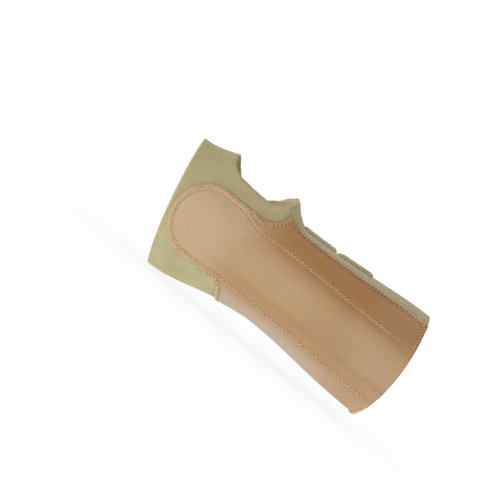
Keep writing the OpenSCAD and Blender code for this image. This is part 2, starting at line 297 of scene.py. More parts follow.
def flap_edge(x):
    return mix(fold(x), -thumb_back_angle, hole_share(x, back_hole_square))


def steps(a, b, step):
    """Even steps from a to b, about a step apart."""
    return np.linspace(a, b, max(2, int(round(abs(b - a) / step)) + 1))


def round_steps(a, b, n):
    """n steps from a to b that close up towards both ends."""
    return mix(a, b, (1 - np.cos(np.pi * np.arange(n + 1) / n)) / 2)


def unit(v):
    return v / np.linalg.norm(v, axis=-1)[..., None]


def step_lengths(line):
    return np.linalg.norm(np.diff(line, axis=0), axis=1)


def hump(distance, width):
    """1 at no distance, falling off over a width."""
    return np.exp(-((distance / width) ** 2))


class Waves:
    """A smooth random field made of a few sine waves, the same in every run."""

    spread = (0.7, 1.5)

    def __init__(self, seed, length, count=7):
        rng = np.random.default_rng(seed)
        direction = unit(rng.normal(size=(count, 3)))
        self.k = direction * (2 * np.pi / (length * rng.uniform(*self.spread, count)))[:, None]
        self.phase = rng.uniform(0, 2 * np.pi, count)

    def __call__(self, points):
        return np.sin(points @ self.k.T + self.phase).sum(-1) / math.sqrt(len(self.phase))


# Mesh helpers

def link(name, vertices, faces, materials, indices=None, creases=()):
    """A new object from points in millimetres. Edges between the pairs of points in creases are sharp."""
    mesh = bpy.data.meshes.new(name)
    mesh.from_pydata((np.asarray(vertices) * MM).tolist(), [], [list(map(int, f)) for f in faces])
    for material in materials:
        mesh.materials.append(material)
    if indices is not None:
        mesh.polygons.foreach_set("material_index", np.asarray(indices, np.int32))
    mesh.polygons.foreach_set("use_smooth", np.full(len(mesh.polygons), True))
    creases = {frozenset(map(int, pair)) for pair in creases}
    for edge in mesh.edges:
        if frozenset(edge.vertices) in creases:
            edge.use_edge_sharp = True
    mesh.update()
    obj = bpy.data.objects.new(name, mesh)
    scene.collection.objects.link(obj)
    return obj


def grid_quads(rows, columns):
    index = np.arange(rows * columns).reshape(rows, columns)
    return np.stack([index[:-1, :-1], index[1:, :-1], index[1:, 1:], index[:-1, 1:]], -1).reshape(-1, 4)


def grid_loop(rows, columns):
    """The places on the rim of a grid, in order."""
    return (
        [(i, 0) for i in range(rows)]
        + [(rows - 1, j) for j in range(1, columns)]
        + [(i, columns - 1) for i in range(rows - 2, -1, -1)]
        + [(0, j) for j in range(columns - 2, 0, -1)]
    )


rim_shares = (0.2, 0.5, 0.8)
tiny = 1e-12


def shell(name, outer, inner, materials, rim_bulge, joined=None):
    """A closed sheet between two grids of points, with a rounded rim. Slots: outer face, rim, inner face.
    joined marks the cells of the first column whose rim is flat, because another sheet goes on there."""
    rows, columns = outer.shape[:2]
    count = rows * columns
    quads = grid_quads(rows, columns)
    flat = outer.reshape(-1, 3)
    flat_inner = inner.reshape(-1, 3)
    out = flat - flat_inner
    normal = np.cross(flat[quads[:, 1]] - flat[quads[:, 0]], flat[quads[:, 3]] - flat[quads[:, 0]])
    flipped = (normal * out[quads[:, 0]]).sum() < 0
    if flipped:
        quads = quads[:, ::-1]
    i, j = np.array(grid_loop(rows, columns)).T
    ids = i * columns + j
    inward = np.clip(i, 1, rows - 2) * columns + np.clip(j, 1, columns - 2)
    edge = flat[ids]
    tangent = np.roll(edge, -1, 0) - np.roll(edge, 1, 0)
    high = np.full(len(ids), float(rim_bulge))
    creases = []
    if joined is not None:
        tangent[0] = edge[0] - edge[-1]
        tangent[rows - 1] = edge[rows] - edge[rows - 1]
        high[1 : rows - 1][joined[1:] | joined[:-1]] = 0
        for k in np.flatnonzero(joined):
            creases += [(ids[k], ids[k + 1]), (count + ids[k], count + ids[k + 1])]
    side = np.cross(tangent, out[ids])
    side /= np.maximum(np.linalg.norm(side, axis=1), tiny)[:, None]
    away = edge - flat[inward]
    side *= np.sign((side * away).sum(1) + tiny)[:, None]
    rim = [
        mix(edge, flat_inner[ids], s) + side * (high * math.sin(math.pi * s))[:, None]
        for s in rim_shares
    ]
    vertices = np.concatenate([flat, flat_inner] + rim)
    rim_ids = 2 * count + np.arange(len(rim) * len(ids)).reshape(len(rim), -1)
    levels = np.stack([ids, *rim_ids, count + ids], 1)
    ahead = np.roll(levels, -1, 0)
    rim_faces = np.stack([levels[:, :-1], ahead[:, :-1], ahead[:, 1:], levels[:, 1:]], -1).reshape(-1, 4)
    if not flipped:
        rim_faces = rim_faces[:, ::-1]
    faces = np.concatenate([quads, quads[:, ::-1] + count, rim_faces])
    indices = np.repeat([0, 2, 1], [len(quads), len(quads), len(rim_faces)])
    return link(name, vertices, faces, materials, indices, creases=creases)


def tubes(name, paths, radius, sides, material):
    """Round threads along paths of points with closed ends, as one mesh. radius may change along a path."""
    vertices, faces = [], []
    turn = 2 * np.pi * np.arange(sides) / sides
    slanted = np.array([0.31, -0.87, 0.38])
    for path in paths:
        path = np.asarray(path)
        run = unit(np.gradient(path, axis=0))
        across = unit(np.cross(run, slanted))
        up = np.cross(run, across)
        ring = np.cos(turn)[None, :, None] * across[:, None, :]
        ring = ring + np.sin(turn)[None, :, None] * up[:, None, :]
        base = len(vertices)
        thick = np.broadcast_to(radius, len(path))[:, None, None]
        vertices.extend((path[:, None, :] + thick * ring).reshape(-1, 3))
        ids = base + np.arange(len(path) * sides).reshape(-1, sides)
        beside = np.roll(ids, -1, 1)
        faces.extend(np.stack([ids[:-1], beside[:-1], beside[1:], ids[1:]], -1).reshape(-1, 4).tolist())
        faces.extend([ids[0, ::-1], ids[-1]])
    return link(name, vertices, faces, [material])


# Materials

def colour(r, g, b):
    """A screen colour from 0 to 255 as linear light."""
    def linear(c):
        c /= 255
        return c / 12.92 if c <= 0.04045 else ((c + 0.055) / 1.055) ** 2.4
    return (linear(r), linear(g), linear(b), 1.0)


def feed(tree, socket, value):
    """Gives a socket a plain value or the output of another node."""
    if isinstance(value, bpy.types.NodeSocket):
        tree.links.new(value, socket)
    else:
        socket.default_value = value


def new_node(tree, kind, inputs=None, **settings):
    """A new shader node with its settings and with what goes into its inputs, by their names or numbers."""
    node = tree.nodes.new("ShaderNode" + kind)
    for key, value in settings.items():
        setattr(node, key, value)
    for key, value in (inputs or {}).items():
        feed(tree, node.inputs[key], value)
    return node


class Finish:
    """A material whose colour and bump come from noise in the object's own space."""

    sheen_roughness = 0.6
    drift_scale = 32

    def __init__(self, name, roughness, sheen=0.0, metallic=0.0, specular=0.5):
        self.material = bpy.data.materials.new(name)
        self.material.use_nodes = True
        self.tree = self.material.node_tree
        self.shader = self.tree.nodes["Principled BSDF"]
        levels = {"Roughness": roughness, "Metallic": metallic, "Specular IOR Level": specular}
        levels.update({"Sheen Weight": sheen, "Sheen Roughness": self.sheen_roughness})
        for key, value in levels.items():
            self.shader.inputs[key].default_value = value
        self.place = self.node("TexCoord").outputs["Object"]
        self.bump_out = None

    def node(self, kind, inputs=None, **settings):
        return new_node(self.tree, kind, inputs, **settings)

    def noise(self, scale, detail=3.0, rough=0.55, stretch=None):
        place = self.place
        if stretch is not None:
            place = self.node("Mapping", {"Vector": place, "Scale": stretch}).outputs["Vector"]
        inputs = {"Vector": place, "Scale": scale, "Detail": detail, "Roughness": rough}
        return self.node("TexNoise", inputs).outputs["Fac"]

    def cells(self, scale, feature="F1"):
        inputs = {"Vector": self.place, "Scale": scale}
        return self.node("TexVoronoi", inputs, feature=feature).outputs["Distance"]

    def along(self, axis, start, end, most, wander=0.0):
        """0 to most along one axis of the object between two places in metres, which wander to and fro."""
        split = self.node("SeparateXYZ", {"Vector": self.place})
        drift = {0: self.noise(self.drift_scale, detail=1.0), 1: wander, 2: split.outputs[axis]}
        place = self.node("Math", drift, operation="MULTIPLY_ADD").outputs["Value"]
        inputs = {"Value": place, "From Min": start + wander / 2, "From Max": end + wander / 2}
        inputs["To Max"] = most
        return self.node("MapRange", inputs, interpolation_type="SMOOTHSTEP").outputs["Result"]

    def ramp(self, value, stops):
        node = self.node("ValToRGB", {"Fac": value})
        elements = node.color_ramp.elements
        while len(elements) < len(stops):
            elements.new(0.5)
        for element, (at, shade) in zip(elements, stops):
            element.position = at
            element.color = shade
        return node.outputs["Color"]

    def blend(self, a, b, factor, kind="MIX"):
        node = self.node("Mix", {"Factor": factor}, data_type="RGBA", blend_type=kind)
        sockets = [s for s in node.inputs if s.type == "RGBA"]
        for value, socket in zip((a, b), sockets):
            feed(self.tree, socket, value)
        return [s for s in node.outputs if s.type == "RGBA"][0]

    def paint(self, value):
        feed(self.tree, self.shader.inputs["Base Color"], value)

    def bump(self, height, strength, distance):
        inputs = {"Height": height, "Strength": strength, "Distance": distance}
        if self.bump_out is not None:
            inputs["Normal"] = self.bump_out
        self.bump_out = self.node("Bump", inputs).outputs["Normal"]
        feed(self.tree, self.shader.inputs["Normal"], self.bump_out)


def loop_fabric(name, pale, mid, deep, thumb_reflection):
    """Brushed loop face: a felted pile with soft mottling, and a painted warm reflection on the thumb side.
    """
    f = Finish(name, roughness=0.92, sheen=0.25, specular=0.15)
    # Painted warm reflection on the thumb side
    thumb_side_painted_light = f.along("Z", -0.015, 0.015, most=0.7)
    mottle = f.ramp(f.noise(70, detail=4.0), [(0.3, deep), (0.5, mid), (0.72, pale)])
    mottle = f.blend(mottle, thumb_reflection, thumb_side_painted_light)
    pile = f.ramp(f.noise(1100, detail=2.0), [(0.3, deep), (0.7, pale)])
    f.paint(f.blend(mottle, pile, factor=0.35))
    f.bump(f.noise(700, detail=4.0, rough=0.65), strength=0.5, distance=0.0006)
    f.bump(f.cells(1500), strength=0.35, distance=0.0003)
    return f.material


def cut_edge(name, pale, deep):
    """Cut or rough surface: fine open cells."""
    f = Finish(name, roughness=0.95, specular=0.1)
    f.paint(f.ramp(f.noise(900, detail=2.0), [(0.3, deep), (0.65, pale)]))
    f.bump(f.cells(1600), strength=0.5, distance=0.0003)
    return f.material


def knit_lining(name, pale, deep):
    """Thin knit with lengthwise ribs."""
    f = Finish(name, roughness=0.85, sheen=0.2, specular=0.2)
    rib = f.noise(2200, detail=1.0, stretch=(0.15, 1.0, 1.0))
    soil = f.ramp(f.noise(45, detail=2.0), [(0.35, deep), (0.6, pale)])
    f.paint(f.blend(soil, f.ramp(rib, [(0.25, deep), (0.75, pale)]), factor=0.5))
    f.bump(rib, strength=0.35, distance=0.0003)
    return f.material


def grey(level):
    return (level, level, level, 1.0)


def smooth_leather(name, pale, fair, mid, deep, rosy, thumb_flank_shade, flank_sheen):
    """Matt leather with a fine pebble grain, soft patches and a few darker pores. Painted shade makes it
    browner beside the thumb and deeper along the little-finger seam; a painted sheen pales the
    little-finger side and painted light the palm."""
    f = Finish(name, roughness=0.52, specular=0.3)
    forearm_end = f.along("X", 0.045, 0.075, most=0.7, wander=0.03)
    # Painted shade along the little-finger seam of the pocket
    ulnar_seam_shade = f.along("Z", -0.014, -0.021, most=0.9, wander=0.006)
    # Painted sheen on the little-finger flank, less of it towards the forearm end
    ulnar_flank_sheen = f.along("Z", -0.024, -0.036, most=0.8, wander=0.006)
    flank_end = f.along("X", 0.025, 0.085, most=0.75)
    # Painted shade beside the thumb: brown from the thumb hole on, less brown towards the hand, a little
    # fainter at the forearm end
    thumb_side_painted_light = f.along("Z", -0.004, 0.020, most=0.9, wander=0.01)
    thumb_hole = f.along("X", -0.006, -0.034, most=0.75)
    thumb_side_end = f.along("X", 0.040, 0.080, most=0.25)
    # Painted light: paler in the palm
    palm = f.along("X", -0.028, -0.056, most=0.85, wander=0.05)
    soft_tones = f.noise(22, detail=1.0, stretch=(0.6, 1.0, 1.0))
    tone = f.ramp(soft_tones, [(0.25, deep), (0.5, mid), (0.85, fair)])
    patches = f.ramp(f.noise(24, detail=1.0), [(0.52, grey(0.0)), (0.7, grey(0.75))])
    tone = f.blend(tone, rosy, patches)
    tone = f.blend(tone, rosy, forearm_end)
    # Painted shade along the little-finger seam and beside the thumb, painted sheen on the little-finger
    # flank and painted light in the palm go on over the tone
    tone = f.blend(tone, deep, ulnar_seam_shade)
    tone = f.blend(f.blend(tone, flank_sheen, ulnar_flank_sheen), tone, flank_end)
    shade = f.blend(thumb_flank_shade, deep, thumb_hole)
    tone = f.blend(f.blend(tone, shade, thumb_side_painted_light), tone, thumb_side_end)
    tone = f.blend(tone, pale, palm)
    grain = f.cells(1300, feature="SMOOTH_F1")
    pores = f.ramp(grain, [(0.0, (0.93, 0.92, 0.90, 1.0)), (0.35, grey(1.0))])
    f.paint(f.blend(tone, pores, factor=1.0, kind="MULTIPLY"))
    f.bump(f.noise(160, detail=3.0), strength=0.25, distance=0.0006)
    f.bump(grain, strength=0.18, distance=0.00025)
    return f.material


def twisted_thread(name, pale, deep, thumb_flank_shade):
    """Thread with a fine twist. Painted shade makes it deeper beside the thumb past the palm, and brown
    along most of the thumb-side edge."""
    f = Finish(name, roughness=0.6, sheen=0.2, specular=0.3)
    # Painted shade: deeper beside the thumb past the palm, and brown along the thumb-side edge past the
    # hole
    thumb_side_painted_light = f.along("Z", 0.0, 0.016, most=0.9)
    past_palm = f.along("X", -0.052, -0.038, most=1.0)
    thumb_edge_shade = f.along("Z", 0.014, 0.020, most=0.9)
    past_hole = f.along("X", -0.024, -0.014, most=1.0)
    forearm_end = f.along("X", 0.060, 0.080, most=0.8)
    ply = f.noise(1800, detail=1.0)
    tone = f.ramp(ply, [(0.35, deep), (0.65, pale)])
    tone = f.blend(tone, f.blend(tone, deep, thumb_side_painted_light), past_palm)
    edge = f.blend(f.blend(tone, thumb_flank_shade, thumb_edge_shade), tone, forearm_end)
    f.paint(f.blend(tone, edge, past_hole))
    f.bump(ply, strength=0.5, distance=0.0002)
    return f.material


def moulded_plastic(name, pale, deep):
    """Smooth plastic with slight uneven tone."""
    f = Finish(name, roughness=0.5, specular=0.45)
    f.paint(f.ramp(f.noise(250, detail=2.0), [(0.3, deep), (0.7, pale)]))
    f.bump(f.noise(1500, detail=2.0), strength=0.2, distance=0.0001)
    return f.material


def satin_metal(name, pale, deep):
    """Rolled aluminium with brush lines along its length."""
    f = Finish(name, roughness=0.34, metallic=1.0)
    brush = f.noise(1200, detail=2.0, stretch=(0.03, 1.0, 1.0))
    f.paint(f.ramp(brush, [(0.3, deep), (0.7, pale)]))
    f.bump(brush, strength=0.2, distance=0.0001)
    return f.material


# Each fabric's last tone is a painted warm reflection on the thumb side
loop_green = loop_fabric(
    "loop_green",
    pale=colour(188, 180, 141), mid=colour(176, 168, 129),
    deep=colour(162, 155, 114), thumb_reflection=colour(174, 157, 109),
)
strap_green = loop_fabric(
    "strap_green",
    pale=colour(194, 184, 154), mid=colour(180, 170, 140),
    deep=colour(164, 155, 126), thumb_reflection=colour(176, 163, 128),
)
# Of these tones, the palest is painted light in the palm, the brown one painted shade beside the thumb, and
# the greyish last one a painted sheen on the little-finger flank
leather_tan = smooth_leather(
    "leather_tan",
    pale=colour(188, 163, 129), fair=colour(187, 155, 116), mid=colour(180, 147, 107),
    deep=colour(171, 137, 98), rosy=colour(188, 155, 122), thumb_flank_shade=colour(162, 114, 67),
    flank_sheen=colour(188, 172, 153),
)
# The brown tones of these threads are painted shade along the thumb-side edge
seam_thread = twisted_thread(
    "seam_thread", pale=colour(236, 209, 164), deep=colour(199, 161, 112), thumb_flank_shade=colour(172, 127, 82)
)
strap_thread = twisted_thread(
    "strap_thread", pale=colour(206, 194, 158), deep=colour(180, 168, 132), thumb_flank_shade=colour(176, 163, 128)
)
foam_edge = cut_edge("foam_edge", pale=colour(212, 196, 158), deep=colour(190, 172, 132))
lining_knit = knit_lining("lining_knit", pale=colour(214, 198, 166), deep=colour(190, 172, 138))
# The cover's cut edge: dark dye together with painted shadow along the leather's edge
leather_cut_shadow = cut_edge("leather_cut_shadow", pale=colour(138, 106, 70), deep=colour(112, 84, 54))
leather_hem = cut_edge("leather_hem", pale=colour(208, 182, 146), deep=colour(186, 158, 122))
leather_back = cut_edge("leather_back", pale=colour(196, 166, 128), deep=colour(168, 136, 98))
# Needle holes: painted shade of the holes
needle_hole_shade = cut_edge("needle_hole_shade", pale=colour(110, 77, 48), deep=colour(86, 58, 36))
hook_plastic = moulded_plastic("hook_plastic", pale=colour(202, 190, 154), deep=colour(184, 172, 136))
stay_metal = satin_metal("stay_metal", pale=(0.60, 0.61, 0.62, 1.0), deep=(0.47, 0.48, 0.50, 1.0))

wrap_finish = [loop_green, foam_edge, lining_knit]
cover_finish = [leather_tan, leather_cut_shadow, leather_back]
strap_finish = [strap_green] * 3


# Outline of the leather cover and of its pocket

def lobe_width(x):
    return np.where(x < lobe_end, np.sqrt(np.maximum(0, lobe_half**2 - (x - lobe_end) ** 2)), lobe_half)


def corner_rise(x, r, start):
    run = np.clip(x + start, 0, r)
    return r - np.sqrt(r * r - run * run)


def cover_radial(x):
    lobe_side = angle_at(x, lobe_mid + lobe_width(x) + corner_rise(x, thumb_fillet, thumb_fillet_start))
    share = np.clip((x - cover_corner_x) / (cuff_len - cover_corner_x), 0, 1)
    return np.maximum(mix(cover_thumb_angle, cover_radial_angle, share), lobe_side)


def cover_ulnar(x):
    lobe_side = angle_at(x, lobe_mid - lobe_width(x) - corner_rise(x, ulnar_fillet, ulnar_fillet_start))
    return mix(lobe_side, cover_ulnar_angle, ease((x - skirt_x + skirt_ramp) / skirt_ramp))


def seam_moved(x):
    return ease((x + seam_from) / seam_turn)


def seam_radial(x):
    return mix(lobe_radial - seam_inset, seam_radial_cuff, seam_moved(x))


def seam_ulnar(x):
    spread = mix(seam_ulnar_wrist, seam_ulnar_cuff, np.clip(x / cuff_len, 0, 1))
    return mix(lobe_ulnar - seam_inset, spread, seam_moved(x))


def stay_half(x):
    share = np.clip((x - stay_round_x) / (stay_corner_x - stay_round_x), 0, 1)
    return mix(stay_hand_w, stay_cuff_w, share) / 2


def in_pocket(x, z):
    radial_run = seam_radial(x) + stay_shift - stay_half(x) - stay_margin
    ulnar_run = seam_ulnar(x) - stay_shift - stay_half(x) - stay_margin
    across = ease((seam_radial(x) - z) / radial_run) * ease((z + seam_ulnar(x)) / ulnar_run)
    return across * ease((x + lobe_tip - seam_inset) / tip_ramp)


def stay_top(x, z):
    return palm_height(x) + stay_clear + stay_t - (z + stay_shift) ** 2 / (2 * stay_crown_r)


def pocket_out(x, a):
    """Distance outside the pocket's seam over the skin, in millimetres, and less than 0 in the pocket."""
    z = polar(x, a) * cosd(a) - crown_shift
    lobe = np.hypot(np.minimum(0, x - lobe_end), z - lobe_mid) - lobe_half + seam_inset
    turn = np.maximum(angle_at(x, seam_radial(x)) - a, a - angle_at(x, -seam_ulnar(x)))
    return mix(lobe, np.radians(turn) * polar(x, a), ease((x - lobe_end) / seam_turn))


def swell(x, a, in_stay_room):
    """How far foam and leather rise beside the stay, so that the pocket has no step. The foam leaves room
    for the stay."""
    out = pocket_out(x, a)
    inside = ease(1 + out / swell_in) if in_stay_room else 1.0
    rise = np.where(out < 0, inside, hump(out, swell_out))
    return swell_high * rise * ease(swell_slope * sind(a))


# The wrap

wrap_cell = 1.4
hole_cells = 52
palm_columns = 120
flap_columns = 56
wrap_rim = 0.45
wrap_wave_high = 0.18
lip_width = 4.0
lip_least = 0.25
lip_more = 1.2
lip_from = 0.1
lip_run = 0.7
lip_wave_share = 0.55
hair = 0.01
wrap_rounds = 5
wrap_stations = np.concatenate([
    steps(-hand_len, -thumb_far, wrap_cell),
    round_steps(-thumb_far, -thumb_near, hole_cells)[1:],
    steps(-thumb_near, cuff_len, wrap_cell)[1:],
])
in_hole = (wrap_stations[:-1] > -thumb_far - hair) & (wrap_stations[1:] < -thumb_near + hair)
wrap_waves = Waves(seed=3, length=46)
lip_waves = Waves(seed=8, length=9)


def hole_distance(x, a):
    """Rough distance from the edge of the thumb hole, in millimetres."""
    palm_side = a > fold(x)
    n = np.where(palm_side, palm_hole_square, back_hole_square)
    edge = np.where(palm_side, thumb_palm_angle + thumb_tilt * hole_place(x), -thumb_back_angle)
    across = np.abs((a - fold(x)) / (edge - fold(x)))
    reach = (np.abs(hole_place(x)) ** n + across**n) ** (1 / n)
    return np.maximum(0, reach - 1) * thumb_half


def wrap_lift(x, a):
    """How far the wrap's outer face stands off its plain section: soft waves and a turned-out lip."""
    place = along(x, a)
    at = skin(place, a)
    near = ease((hole_place(x) - lip_from) / lip_run)
    lip = hump(hole_distance(x, a), lip_width) * (lip_least + lip_more * near)
    waves = wrap_wave_high * wrap_waves(at)
    return waves + lip * (1 + lip_wave_share * lip_waves(at)) + swell(place, a, True)


def station(place, a):
    """The wrap's station under a place along the arm."""
    x = place
    for _ in range(wrap_rounds):
        x = place - slant(x, a) - bulge(x, a)
    return x


def on_wrap(place, a, lift):
    """Points over the finished face of the wrap."""
    return skin(place, a, lift + wrap_lift(station(place, a), a))


def wrap_panel(name, from_edge, to_angle, columns):
    x = wrap_stations[:, None]
    a = mix(from_edge(x), to_angle, np.linspace(0, 1, columns)[None, :])
    lift = wrap_lift(x, a)
    place = along(x, a)
    return shell(name, skin(place, a, lift), skin(place, a, lift - wrap_t), wrap_finish, wrap_rim, ~in_hole)


wrap_palm = wrap_panel("wrap_palm", palm_edge, ulnar_edge_angle, palm_columns)
wrap_thumb = wrap_panel("wrap_thumb", flap_edge, -flap_edge_angle, flap_columns)
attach(wrap_palm, "palm_shell")
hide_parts("palmar_wrap", "palmar_lining", "ulnar_wrap", "ulnar_lining")

# The two ends of the fold line, the line between them and the way square to it
fold_ends = skin(np.array([cuff_len, -hand_len]), fold(np.array([cuff_len, -hand_len])))
fold_run = fold_ends[0] - fold_ends[1]
fold_side = np.array([-fold_run[1], fold_run[0], 0])
fold_side /= np.linalg.norm(fold_side)


def bend_with_flap(piece):
    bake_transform(piece)


bend_with_flap(wrap_thumb)
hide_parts("radial_wrap", "radial_lining")


# The leather cover

cover_rounds = 4


def cover_base(x, a, lift):
    """Points of the cover without its seams, at a lift over the wrap."""
    place = x + bulge(x, a)
    p = skin(place, a, lift + swell(place, a, False))
    rise = in_pocket(p[..., 0], p[..., 2]) * np.maximum(
        0, stay_top(p[..., 0], p[..., 2]) + stay_clear - layer_gap + p[..., 1] + lift)
    p[..., 1] -= rise
    return p


def on_cover(points):
    """The cover's own coordinates under points near it."""
    x = points[..., 0]
    a = np.degrees(np.arctan2(-points[..., 1] - middle(x), points[..., 2] + crown_shift)) % 360
    place = x
    for _ in range(cover_rounds):
        place = x - bulge(place, a)
    return place, a


def tree_of(points):
    tree = KDTree(len(points))
    for k, p in enumerate(points):
        tree.insert(p, k)
    tree.balance()
    return tree


def distance_to(tree, points):
    flat = points.reshape(-1, 3)
    return np.array([tree.find(p)[2] for p in flat]).reshape(points.shape[:-1])


def normals(x, a):
    """Unit normals of places on the cover, by small steps along x and a."""
    small = 0.4
    du = cover_base(x + small, a, 1.0) - cover_base(x - small, a, 1.0)
    dv = cover_base(x, a + small, 1.0) - cover_base(x, a - small, 1.0)
    n = unit(np.cross(du, dv))
    away = skin(x, a, 1.0) - skin(x, a, 0.0)
    return n * np.sign((n * away).sum(-1))[..., None]


def resample(line, step):
    """Points along a line at about equal steps."""
    run = np.concatenate([[0], np.cumsum(step_lengths(line))])
    count = max(2, int(round(run[-1] / step)) + 1)
    at = np.linspace(0, run[-1], count)
    return np.stack([np.interp(at, run, line[:, k]) for k in range(3)], 1)


outer_lift = layer_gap + leather_t
lobe_cells = 60
tip_turn = 1.5
lobe_cell = 0.8
corner_cell = 0.4
side_cell = 0.9
edge_step = 0.5
lobe_turns = np.radians(np.linspace(tip_turn, 90, lobe_cells))
cover_stations = np.concatenate([
    lobe_end - lobe_half * np.cos(lobe_turns),
    steps(lobe_end, -ulnar_fillet_start, lobe_cell)[1:],
    steps(-ulnar_fillet_start, cover_corner_x, corner_cell)[1:],
    steps(cover_corner_x, cuff_len, side_cell)[1:],
])
radial_edge = cover_base(cover_stations, cover_radial(cover_stations), outer_lift)
ulnar_edge = cover_base(cover_stations, cover_ulnar(cover_stations), outer_lift)
edge_tree = tree_of(resample(np.concatenate([ulnar_edge[::-1], radial_edge]), edge_step))

# The pocket's seam goes down one side of the lobe and up the other, a little inside its edge.
# Side 1 is the thumb's and side -1 the little finger's.
pocket_end_gaps = {1: 12, -1: 4}
lobe_seam_turn = np.radians(np.linspace(0, 90, lobe_cells))
seam_cell = 0.6
seam_step = 0.4


def pocket_side(inset, side):
    """One half of a row of the pocket's seam, as places along and across the palm: from the lobe's tip to
    its end near the forearm edge."""
    radius = lobe_half - inset
    arc_x = lobe_end - radius * np.cos(lobe_seam_turn)
    arc_z = lobe_mid + side * radius * np.sin(lobe_seam_turn)
    x = steps(lobe_end, cuff_len - pocket_end_gaps[side], seam_cell)[1:]
    seam = seam_radial(x) if side > 0 else seam_ulnar(x)
    narrow = mix(1, pocket_seam_share, seam_moved(x))
    z = side * (seam + (seam_inset - inset) * narrow)
    return np.stack([np.concatenate([arc_x, x]), np.concatenate([arc_z, z])])


def pocket_row(inset):
    """A whole row of the pocket's seam, as points on the cover."""
    x, z = np.concatenate([pocket_side(inset, -1)[:, ::-1], pocket_side(inset, 1)[:, 1:]], 1)
    return cover_base(x, angle_at(x, z), outer_lift)


inner_row_inset = 4.2
outer_row_inset = 1.0
pocket_seam_share = 0.55
pocket_tree = tree_of(resample(pocket_row(inner_row_inset), seam_step))

# Relief of the cover: pressed down towards its edge and more so on the little-finger flank, a bead beside
# the edge, a groove under the inner row of each seam, soft waves, puckers and a low rise in the palm
press_low = 0.28
press_width = 4
flank_press = 0.6
flank_from = 145
flank_run = 20
bead_high = 0.30
bead_inset = 1.9
bead_width = 1.3
bead_loss = 0.7
rim_low = 0.35
rim_width = 0.7
row_low = 0.38
thumb_row_low = 0.15
thumb_row_from = 70
thumb_row_run = 25
row_width = 0.8
row_clear = 2
groove_low = 0.32
groove_width = 1.0
wave_high = 0.20
pucker_high = 0.10
pucker_reach = 9
palm_rise_x = -49
palm_rise_run = 13
palm_rise_high = 0.9
palm_rise_ramp = 12
leather_waves = Waves(seed=21, length=60)
leather_puckers = Waves(seed=5, length=9)


def cover_face(x, a, side):
    """The finished faces of the cover: side 1 is the outer face with its seams, side 0 the inner one."""
    base = cover_base(x, a, layer_gap + side * leather_t)
    edge = distance_to(edge_tree, base)
    seam = distance_to(pocket_tree, base)
    flank = ease((a - flank_from) / flank_run)
    low = -(press_low + flank_press * flank) * hump(edge, press_width)
    if side:
        bead = bead_high * (1 - bead_loss * flank) * hump(edge - bead_inset, bead_width)
        row_deep = mix(row_low, thumb_row_low, ease((thumb_row_from - a) / thumb_row_run))
        row = -row_deep * hump(edge - inner_row_inset, row_width)
        groove = -groove_low * hump(seam, groove_width)
        low = low + bead - rim_low * hump(edge, rim_width) + row * (seam > row_clear) + groove
        near_seam = hump(np.minimum(edge, seam), pucker_reach)
        low = low + wave_high * leather_waves(base) + pucker_high * near_seam * leather_puckers(base)
        palm_rise = hump(x - palm_rise_x, palm_rise_run) * ease(-pocket_out(x, a) / palm_rise_ramp)
        low = low + palm_rise_high * palm_rise
    out = skin(x, a, 1.0) - skin(x, a, 0.0)
    return base + out * low[..., None]


cover_rim = 0.2
cover_columns = 170
cover_share = np.linspace(0, 1, cover_columns)[None, :]
cover_x = cover_stations[:, None]
cover_a = mix(cover_radial(cover_x), cover_ulnar(cover_x), cover_share)
cover_faces = [cover_face(cover_x, cover_a, side) for side in (1, 0)]
cover = shell("cover", *cover_faces, cover_finish, cover_rim)
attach(cover, "palm_shell")
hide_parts("leather_cover")


# Zigzag seams of the cover

stitch_pitch = 2.4
pocket_pitch = 3.1
thread_r = 0.26
thread_sides = 6
thread_high = 0.30
thread_round = 0.6
thread_dip = 0.5
dip_power = 6
edge_seam_inset = 0.6
edge_seam_reach = 3.8
web_seam_reach = 4.6
split_reach = 1.5
split_x = -44
split_run = 9
palm_middle = 100
arch_points = 8
arch = np.linspace(0, 1, arch_points)


def stitches(row_a, row_b, pitch=stitch_pitch):
    """Needle holes to and fro between two rows whose points go side by side. pitch may change along."""
    way = step_lengths((row_a + row_b) / 2)
    run = np.concatenate([[0], np.cumsum(way / np.broadcast_to(pitch, len(row_a))[1:])])
    at = np.linspace(0, run[-1], 2 * int(run[-1]) + 1)
    rows = [np.stack([np.interp(at, run, row[:, k]) for k in range(3)], 1) for row in (row_a, row_b)]
    holes = rows[0]
    holes[1::2] = rows[1][1::2]
    return holes


def sew(holes):
    """Threads over the cover's finished face from hole to hole."""
    line = mix(holes[:-1, None], holes[1:, None], arch[:, None])
    x, a = on_cover(line)
    face = cover_face(x, a, 1)
    rise = np.sin(np.pi * arch)
    high = thread_high * rise**thread_round - thread_dip * (1 - rise) ** dip_power
    return face + normals(x, a) * high[:, None]


def edge_rows(x, edge, reach=edge_seam_reach):
    """The two rows of the seam along an edge of the cover. reach is how far in the inner row lies."""
    line = cover_base(x, edge(x), outer_lift)
    n = normals(x, edge(x))
    side = unit(np.cross(np.gradient(line, axis=0), n))
    centre = cover_base(on_cover(line)[0], palm_middle, outer_lift)
    side *= np.sign((side * (centre - line)).sum(1))[:, None]
    return line + side * edge_seam_inset, line + side * np.broadcast_to(reach, len(x))[:, None]


def grow(x, reach):
    """The reach of an edge seam that starts narrow where the pocket's seam leaves the edge."""
    return mix(split_reach, reach, ease((x - split_x) / split_run))


